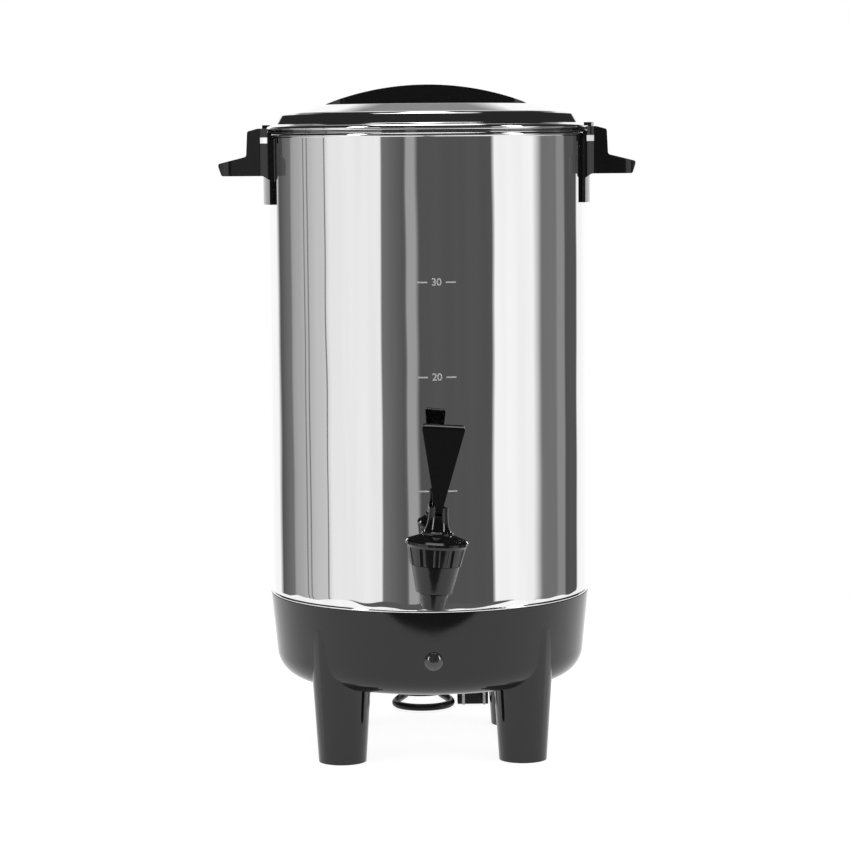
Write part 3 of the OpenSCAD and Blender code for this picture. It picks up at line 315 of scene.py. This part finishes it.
# %% The lid's rolled edge, skirt and lugs
LUG_AT = (0.0914, 0, 0.35475)
LUG_SIZE = (0.0040, 0.0088, 0.0016)
rolled = ring_section(89.5, 355.15, 1.7)
skirt = strip_section(88.05, 347.25, 356.8)
edge = turned("rolled_edge", [rolled, skirt])
lid_shape = bmesh.new()
lid_shape.from_mesh(roof.data)
lid_shape.from_mesh(edge.data)
for side in (0, math.pi):
    at = Matrix.Rotation(side, 4, "Z") @ Matrix.Translation(LUG_AT)
    bmesh.ops.create_cube(lid_shape, size=1, matrix=at @ Matrix.Diagonal((*LUG_SIZE, 1)))
bpy.data.objects.remove(roof)
bpy.data.objects.remove(edge)
lid = as_object("polished_lid_shell", lid_shape)
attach(lid, "lid")
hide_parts("lid_shell")
print("lid:", len(lid.data.polygons), "faces")

# %% [markdown]
# ## The level marks
# Plain numbers between two dashes tell how many cups the drum holds. They are etched into the
# polish, so they are satin where the rest is a mirror. A decal could do it, but a real mark has an
# edge: the text is made a mesh, cut into narrow strips and bent onto the drum.

# %% Etch 30, 20 and 10
MARK_TURN = math.radians(1.9)
MARK_PROUD = 0.00005
FIGURE_SIZE, FIGURE_SPREAD = 0.0056, 0.00008
DASH_AT, DASH_HALF, DASH_HALF_HIGH = 0.0078, 0.0028, 0.0004
STRIP, STRIPS_ASIDE = 0.0008, 13
MARK_HEIGHTS = {"30": 0.2714, "20": 0.2197, "10": 0.1573}


def level_mark(cups, height):
    """A number with a dash on each side, a twentieth of a millimetre proud of the drum."""
    text = bpy.data.curves.new("number", "FONT")
    text.body = cups
    text.size = FIGURE_SIZE
    text.offset = FIGURE_SPREAD
    text.align_x = text.align_y = "CENTER"
    letters = bpy.data.objects.new("number", text)
    bpy.context.scene.collection.objects.link(letters)
    mesh = bpy.data.meshes.new_from_object(letters.evaluated_get(bpy.context.evaluated_depsgraph_get()))
    bpy.data.objects.remove(letters)
    flat = bmesh.new()
    flat.from_mesh(mesh)
    for side in (-1, 1):
        dash = Matrix.Translation((side * DASH_AT, 0, 0))
        dash @= Matrix.Diagonal((DASH_HALF, DASH_HALF_HIGH, 1, 1))
        bmesh.ops.create_grid(flat, x_segments=1, y_segments=1, size=1, matrix=dash)
    for cut in range(-STRIPS_ASIDE, STRIPS_ASIDE + 1):
        bmesh.ops.bisect_plane(
            flat, geom=[*flat.verts, *flat.edges, *flat.faces], plane_co=(cut * STRIP, 0, 0),
            plane_no=(1, 0, 0),
        )
    out = DRUM_R + MARK_PROUD
    for vert in flat.verts:
        angle = MARK_TURN + vert.co.x / DRUM_R
        vert.co = (out * math.sin(angle), -out * math.cos(angle), height + vert.co.y)
    mark = as_object("level_mark_" + cups, flat)
    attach(mark, "urn")
    return mark


marks = [level_mark(cups, height) for cups, height in MARK_HEIGHTS.items()]
print(len(marks), "level marks")

# %% [markdown]
# ## Shader maths in plain Python
# A finish is made of nodes, and a long chain of Math nodes is hard to read. The small class below
# wraps one output of a node, so that a pattern can be written as an ordinary expression such as
# `1 - mask * 0.3`, and each operator adds the Math node that it stands for.


# %% One class for sockets
class Socket:
    """One output of a shader node, with operators that add Math nodes."""

    def __init__(self, tree, output=None):
        self.tree = tree
        self.output = output

    def node(self, kind, settings=None, sockets=None, output=0):
        """Adds a node: its settings first, then the values or links of its sockets."""
        made = self.tree.nodes.new("ShaderNode" + kind)
        for name, value in (settings or {}).items():
            if name == "stops":
                ramp = made.color_ramp
                while len(ramp.elements) < len(value):
                    ramp.elements.new(0.5)
                for stop, (at, shade) in zip(ramp.elements, value):
                    stop.position = at
                    stop.color = (*shade, 1) if hasattr(shade, "__len__") else (shade, shade, shade, 1)
            else:
                setattr(made, name, value)
        for name, value in (sockets or {}).items():
            if isinstance(value, Socket):
                self.tree.links.new(value.output, made.inputs[name])
            else:
                made.inputs[name].default_value = value
        return Socket(self.tree, made.outputs[output])

    def math(self, operation, *others):
        return self.node("Math", {"operation": operation}, dict(enumerate((self, *others))))

    def __add__(self, other):
        return self.math("ADD", other)

    def __sub__(self, other):
        return self.math("SUBTRACT", other)

    def __rsub__(self, other):
        return self.node("Math", {"operation": "SUBTRACT"}, {0: other, 1: self})

    def __mul__(self, other):
        return self.math("MULTIPLY", other)

    def __truediv__(self, other):
        return self.math("DIVIDE", other)

    def __pow__(self, other):
        return self.math("POWER", other)

    def __abs__(self):
        return self.math("ABSOLUTE")

    __radd__ = __add__
    __rmul__ = __mul__

    def parts(self):
        """The three numbers of a vector."""
        return [self.node("SeparateXYZ", {}, {"Vector": self}, output=i) for i in range(3)]

    def clamp(self):
        return self.node("Clamp", {}, {"Value": self})

    def step(self, low, high):
        """Rises softly from 0 at low to 1 at high."""
        return self.node(
            "MapRange",
            {"interpolation_type": "SMOOTHSTEP"},
            {"Value": self, "From Min": low, "From Max": high},
        )

    def mix(self, dark, light):
        """A colour from dark, where this is 0, to light, where it is 1."""
        colours = {0: self, 6: rgba(dark), 7: rgba(light)}
        return self.node("Mix", {"data_type": "RGBA"}, colours, output=2)


def rgba(colour):
    """A colour as a socket takes it."""
    return colour if isinstance(colour, Socket) else (*colour, 1)


# %% A finish starts from one shader
class Finish:
    """A material with one Principled shader, and the surface's own coordinates."""

    def __init__(self, name, colour, roughness, **sockets):
        self.material = bpy.data.materials.new(name)
        self.material.use_nodes = True
        tree = self.material.node_tree
        self.shader = tree.nodes["Principled BSDF"]
        self.start = Socket(tree)
        self.set("Base Color", (*colour, 1))
        self.set("Roughness", roughness)
        for socket, value in sockets.items():
            self.set(socket.replace("_", " "), value)
        self.spot = self.start.node("TexCoord", output="Object")

    def set(self, socket, value):
        into = self.shader.inputs[socket]
        if isinstance(value, Socket):
            self.start.tree.links.new(value.output, into)
        else:
            into.default_value = value

    def noise(self, scale, detail=2.0, roughness=0.5, stretch=(1, 1, 1)):
        """Soft random values from 0 to 1, with a scale in cycles a metre."""
        at = self.start.node("Mapping", {}, {"Vector": self.spot, "Scale": stretch})
        return self.start.node(
            "TexNoise", {}, {"Vector": at, "Scale": scale, "Detail": detail, "Roughness": roughness}
        )

    def bump(self, height, distance):
        """Feeds a height into the surface's normal, as so many times a distance in metres."""
        self.set("Normal", self.start.node("Bump", {}, {"Height": height, "Distance": distance}))


def dress(names, finish):
    """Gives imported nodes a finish."""
    print(finish.material.name, "on", ", ".join(names))
    for name in names:
        mesh = nodes[name].data
        mesh.materials.clear()
        mesh.materials.append(finish.material)


# %% [markdown]
# ## Polished steel
# The drum and the lid are pressed from stainless sheet and polished to a mirror. Rolling leaves
# very slight waves and upright streaks, so reflected straight edges wander as they run down the
# drum. A mirror could be a plain metal shader, but then its bands would be ruler-straight: two
# noises in the bump bend them as the real sheet does, and two more vary its grey and its haze.
#
# Above the hem the wall draws in a little, and mirrors the table there. The sheet moves by tenths
# of a millimetre, which the wall's mesh could hold, but it does so unevenly all round, and a height
# in the bump does that without cutting the wall into thousands of small faces.

# %% The steel's finish
steel = Finish("polished steel", (0.80, 0.80, 0.80), 0.03, Metallic=1.0)
WAVE_DEPTH, STREAK_DEPTH = 0.00050, 0.000035
DRAWN_IN_FROM, DRAWN_IN_UNEVEN, DRAWN_IN_CURVE = 0.0925, 0.007, 16
side, depth, height = steel.spot.parts()
waves = steel.noise(17, detail=1.0, stretch=(1, 1, 0.6)) * WAVE_DEPTH
streaks = steel.noise(75, detail=1.0, stretch=(1, 1, 0.10)) * STREAK_DEPTH
uneven = steel.noise(42, detail=1.0, stretch=(1, 1, 0.4)) * DRAWN_IN_UNEVEN
below = DRAWN_IN_FROM - height + uneven
# The hem's ring stands out past the wall, and keeps its shape.
on_wall = ((side * side + depth * depth) ** 0.5).step(DRUM_R + 0.0002, DRUM_R)
drawn_in = below.math("MAXIMUM", 0) ** 2 * on_wall * DRAWN_IN_CURVE
steel.bump(waves + streaks - drawn_in, 1.0)
lines = steel.noise(130, detail=2.0, stretch=(1, 1, 0.03))
steel.set("Base Color", lines.step(0.3, 0.7).mix((0.77, 0.77, 0.77), (0.82, 0.82, 0.82)))
steel.set("Roughness", 0.02 + steel.noise(60, detail=3.0) * 0.02)
for piece in (drum, lid):
    piece.data.materials.append(steel.material)
dress(["tank", "lid_shell"], steel)

# %% The marks' finish
etched = Finish("etched steel", (0.66, 0.66, 0.66), 0.42, Metallic=0.25)
etched.set("Roughness", 0.38 + etched.noise(2500, detail=2.0) * 0.10)
for mark in marks:
    mark.data.materials.append(etched.material)
print(etched.material.name, "on", len(marks), "marks")

# %% [markdown]
# ## Black plastics
# The handles, the base and the tap are moulded in heat-proof black plastic with a high gloss.
# Black alone would look like a hole, so what is seen is its shine: a smooth skin with the faint
# unevenness of moulding, and here and there a touch more haze.

# %% The black finishes
gloss_black = Finish("gloss black plastic", (0.0045, 0.0045, 0.0045), 0.1)
gloss_black.set("Roughness", 0.035 + gloss_black.noise(45, detail=4.0) * 0.05)
gloss_black.bump(gloss_black.noise(1500, detail=2.0), 0.000004)
dress(["handle_right", "handle_left", "lid_handle", "base_shell"], gloss_black)

tap_black = Finish("tap black plastic", (0.005, 0.005, 0.005), 0.1)
tap_black.set("Roughness", 0.07 + tap_black.noise(90, detail=4.0) * 0.05)
tap_black.bump(tap_black.noise(260, detail=2.0), 0.000012)
dress(["tap_body", "tap_bonnet", "tap_lever"], tap_black)

lead_pvc = Finish("lead pvc", (0.005, 0.005, 0.005), 0.4, Specular_IOR_Level=0.25)
lead_pvc.set("Roughness", 0.34 + lead_pvc.noise(400, detail=3.0) * 0.12)
lead_pvc.bump(lead_pvc.noise(900, detail=2.0), 0.00002)
dress(["strain_relief", "cord_tie", "plug_body"], lead_pvc)
tube.materials.clear()
tube.materials.append(lead_pvc.material)
print(lead_pvc.material.name, "on the flex too")

seal_black = Finish("seal rubber", (0.02, 0.02, 0.02), 0.6)
seal_black.set("Roughness", 0.52 + seal_black.noise(500, detail=2.0) * 0.2)
dress(["lid_seal"], seal_black)

# %% [markdown]
# ## The other finishes
# Inside are spun aluminium, zinc-plated steel, silicone, ceramic and wires. They show when the
# lid is off or from below. Each gets its own gloss and a slight variation, such as the fine rings
# that spinning leaves on aluminium.

# %% Metals inside
aluminium = Finish("spun aluminium", (0.78, 0.78, 0.79), 0.3, Metallic=1.0)
# A tool mark about every 0.7 mm, in radians a metre.
SPINNING_MARKS = 9000
side, depth, _ = aluminium.spot.parts()
from_axis = (side * side + depth * depth) ** 0.5
rings = (from_axis * SPINNING_MARKS).math("SINE") * 0.5 + 0.5
aluminium.bump(rings, 0.000006)
aluminium.set("Roughness", 0.24 + aluminium.noise(80, detail=3.0) * 0.14)
dress(["pump_foot", "pump_tube", "pump_washer", "basket", "basket_cover", "pump_heater"], aluminium)

zinc = Finish("zinc plate", (0.62, 0.62, 0.60), 0.35, Metallic=1.0)
spangle = zinc.start.node("TexVoronoi", {}, {"Vector": zinc.spot, "Scale": 420}, output="Distance")
zinc.set("Base Color", spangle.clamp().mix((0.56, 0.56, 0.55), (0.70, 0.70, 0.67)))
zinc.set("Roughness", 0.28 + zinc.noise(300, detail=3.0) * 0.2)
dress(
    ["base_plate", "base_screws", "centre_stud", "stud_nuts", "heater_clamp", "element_clips",
     "thermostat_bracket"], zinc,
)

fastener = Finish("stainless fastener", (0.66, 0.66, 0.66), 0.22, Metallic=1.0)
fastener.set("Roughness", 0.17 + fastener.noise(500, detail=3.0) * 0.14)
dress(["handle_screws", "lid_screws", "tap_nut", "tap_pin", "tap_stem", "tap_spring"], fastener)

# %% [markdown]
# The spring that shuts the tap is one wound wire. It shortens as the lever lifts the seat cup, which
# a rigid piece can't show. Here a copy of the imported spring is made, with its doubled points merged,
# and stands in its place.

# %% The closing spring
coils = bmesh.new()
coils.from_mesh(nodes["tap_spring"].data)
bmesh.ops.remove_doubles(coils, verts=coils.verts, dist=1e-6)
spring = as_object("closing_spring", coils)
spring.data.materials.clear()
spring.data.materials.append(fastener.material)
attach(spring, "urn")
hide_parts("tap_spring")
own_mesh(spring)

# %% The heater's sheath and the plug's blades
sheath = Finish("heater sheath", (0.22, 0.20, 0.19), 0.45, Metallic=1.0)
sheath.set("Base Color", sheath.noise(120, detail=3.0).mix((0.13, 0.12, 0.11), (0.33, 0.29, 0.25)))
dress(["warming_element"], sheath)

nickel = Finish("nickel on brass", (0.34, 0.335, 0.33), 0.25, Metallic=1.0)
nickel.set("Roughness", 0.20 + nickel.noise(400, detail=3.0) * 0.16)
dress(["plug_blades"], nickel)

# %% Silicone, moulded and ceramic pieces
silicone = Finish("silicone", (0.55, 0.55, 0.54), 0.5, Subsurface_Weight=0.1)
silicone.set("Roughness", 0.42 + silicone.noise(500, detail=2.0) * 0.18)
dress(["handle_washers", "tap_gasket", "tap_inner_gasket", "tap_seat_cup"], silicone)

phenolic = Finish("phenolic", (0.035, 0.03, 0.026), 0.5)
phenolic.bump(phenolic.noise(900, detail=3.0), 0.00004)
dress(["thermostat"], phenolic)

ceramic = Finish("fuse ceramic", (0.72, 0.70, 0.64), 0.4)
ceramic.bump(ceramic.noise(700, detail=3.0), 0.00003)
dress(["thermal_fuse"], ceramic)

nylon = Finish("lamp nylon", (0.72, 0.71, 0.67), 0.42)
nylon.bump(nylon.noise(600, detail=2.0), 0.00002)
dress(["lamp_holder"], nylon)

bulb = Finish("neon glass", (0.9, 0.82, 0.72), 0.05, Transmission_Weight=0.85)
bulb.set("Roughness", 0.04 + bulb.noise(300, detail=2.0) * 0.04)
dress(["neon_lamp"], bulb)

sleeve = Finish("wire sleeve", (0.6, 0.57, 0.48), 0.75)
sleeve.bump(sleeve.noise(1800, detail=2.0), 0.0001)
dress(["wiring"], sleeve)

lens = Finish("smoked lens", (0.03, 0.03, 0.03), 0.06, Coat_Weight=0.6)
lens.set("Roughness", 0.10 + lens.noise(500, detail=2.0) * 0.05)
dress(["ready_lens"], lens)

# %% [markdown]
# ## The studio
# The urn is a mirror, so what it shows is the studio: a white backdrop behind, a white panel on
# each side of the camera, a dark room and floor between them, a grey wall with three thin posts at
# the left, a soft lamp overhead that draws a white line along each rolled edge, and two narrow
# strong lamps that leave the upright lights on the black plastic. Real panels could be built as
# objects, but the room is painted on the world by direction, as a few broad greys round the
# horizon and a ramp up the backdrop, because nothing then stands in the way of another view. Rays
# that look straight out see white, and matt surfaces get one even grey.

# %% Directions in the room
LEVEL = 1.25
world = bpy.data.worlds.new("studio")
bpy.context.scene.world = world
world.use_nodes = True
room = world.node_tree
background = room.nodes["Background"]
background.inputs["Strength"].default_value = LEVEL
sky = Socket(room)
ray_x, ray_y, ray_z = sky.node("TexCoord", output="Generated").parts()
turn = ray_x.math("ARCTAN2", ray_y * -1) / math.tau + 0.5
from_front = abs(turn - 0.5)
print("the room's level is", LEVEL)

# %% What stands round the room
# From and to which angle, and how bright at either end. 0 is where the camera stands, and positive
# is to its right.
ROUND_THE_ROOM = [
    (-180, -140, 1.1, 1.1),  # backdrop
    (-134, -116, 0.1, 0.2),  # dark corner
    (-115, -80, 0.4, 0.7),  # left wall, lighter towards the panel
    (-75, -35, 1.0, 1.0),  # left panel
    (-34, -17, 0.2, 0.1),  # dark room
    (-16, -9, 0.4, 0.4),  # grey screen
    (-8, 46, 0.1, 0.1),  # dark room
    (47, 80, 1.1, 1.1),  # right panel
    (89, 105, 0.2, 0.2),  # right wall
    (106, 115, 0.3, 0.3),  # grey screen
    (116, 134, 0.1, 0.1),  # dark corner
    (136, 180, 1.1, 1.1),  # backdrop
]
POSTS = (-100, -96, -79)
# How bright the backdrop is at a height, given as the sine of the angle above the horizon.
UP_BEHIND = [
    (0.0, 1.1), (0.43, 1.1), (0.50, 0.3), (0.63, 0.3), (0.68, 1.1), (0.86, 1.1), (0.90, 0.03),
]
print(len(ROUND_THE_ROOM), "bands and", len(POSTS), "posts")


# %% Ramps and lamps painted on the room
def greys(table, where):
    """A ramp of greys, given as they look once the world's level has raised them."""
    stops = [(at, value / LEVEL) for at, value in table]
    return sky.node("ValToRGB", {"stops": stops}, {"Fac": where})


def upright(angle, half_width, soft):
    """1 in a strip at an angle round the room, fading out at its edges, in degrees."""
    aside = abs(turn - (angle / 360 + 0.5))
    return aside.step((half_width + soft) / 360, (half_width - soft) / 360)


def strong_lamp(angle, half_width, low, high, strength):
    """A lamp at an angle round the room, between two heights given as sines."""
    across = upright(angle, half_width, 1)
    return across * ray_z.step(low - 0.02, low) * ray_z.step(high + 0.02, high) * strength


# %% Paint the room
around = []
for start, end, first, last in ROUND_THE_ROOM:
    around += [(start / 360 + 0.5, first), (end / 360 + 0.5, last)]
low = greys(around, turn)
posts = sum(upright(angle, 0.5, 0.5) for angle in POSTS)
low = posts.mix(low, (0.12, 0.12, 0.12))
dark_floor = from_front.step(0.18, 0.16) * ray_z.step(-0.17, -0.20)
low = dark_floor.mix(low, (0.09, 0.09, 0.09))
is_behind = from_front.step(0.425, 0.435)
high = is_behind.mix((0.02, 0.02, 0.02), greys(UP_BEHIND, ray_z))
studio = ray_z.step(0.03, 0.13).mix(low, high)
lamps = (
    strong_lamp(-54, 5, 0.10, 0.60, 7)
    + strong_lamp(66, 5, 0.10, 0.60, 8)
    + ray_z.step(0.92, 0.94) * 2.5
)
lit = sky.node("VectorMath", {"operation": "ADD"}, {0: studio, 1: lamps})


def rays(start, *kinds):
    """1 for light rays of these kinds."""
    return sum(start.node("LightPath", output=f"Is {kind} Ray") for kind in kinds).clamp()


even = rays(sky, "Glossy", "Transmission").mix((0.3, 0.3, 0.3), lit)
shown = rays(sky, "Camera").mix(even, (0.8, 0.8, 0.8))
room.links.new(shown.output, background.inputs["Color"])
print("the room is made of", len(room.nodes), "nodes")

# %% [markdown]
# ## The table
# The urn stands near the front of a white table. The table's front edge is what makes the
# dark curved patch under the seam, where the gloss shows the dark room beyond it. The table
# keeps the urn's shadow but looks nearly as white as the backdrop, which a mix of a plain white
# surface and a glow gives.

# %% The table top
TABLE_WIDE, TABLE_DEEP, TABLE_MIDDLE = 0.84, 0.75, 0.075
shape = bmesh.new()
# A fifth of a millimetre below the feet, so that the two faces don't flicker.
at = Matrix.Translation((0, TABLE_MIDDLE, -0.0002)) @ Matrix.Diagonal((TABLE_WIDE, TABLE_DEEP, 1, 1))
bmesh.ops.create_grid(shape, x_segments=1, y_segments=1, size=0.5, matrix=at)
table_top = as_object("table_top", shape)

white = Finish("table white", (0.86, 0.86, 0.86), 0.7)
path = white.start
seen = rays(path, "Camera", "Glossy", "Transmission")
glow = path.node("Emission", {}, {"Color": (1, 1, 1, 1), "Strength": 1.25})
plain = Socket(path.tree, white.shader.outputs[0])
both = path.node("MixShader", {}, {0: seen * 0.72, 1: plain, 2: glow})
path.tree.links.new(both.output, path.tree.nodes["Material Output"].inputs["Surface"])
table_top.data.materials.append(white.material)
print("the table's front edge is at y", TABLE_MIDDLE - TABLE_DEEP / 2)


# %% Lamps
def panel(name, at, look, size, watts):
    """A soft square lamp that the mirror doesn't show."""
    data = bpy.data.lights.new(name, "AREA")
    data.shape = "RECTANGLE"
    data.size, data.size_y = size
    data.energy = watts
    lamp = bpy.data.objects.new(name, data)
    lamp.location = at
    lamp.rotation_euler = (Vector(look) - Vector(at)).to_track_quat("-Z", "Y").to_euler()
    lamp.visible_glossy = False
    lamp.visible_camera = False
    bpy.context.scene.collection.objects.link(lamp)
    print(name, "of", watts, "W")


panel("lamp_top", (0, -0.1, 1.5), (0, 0, 0.1), (1.4, 1.4), 12)
panel("lamp_left", (-1.3, -0.9, 0.8), (0, 0, 0.2), (0.9, 1.2), 8)
panel("lamp_right", (1.3, -0.7, 0.8), (0, 0, 0.2), (0.9, 1.2), 8)

# %% Finish
bpy.context.scene.view_settings.view_transform = "Standard"
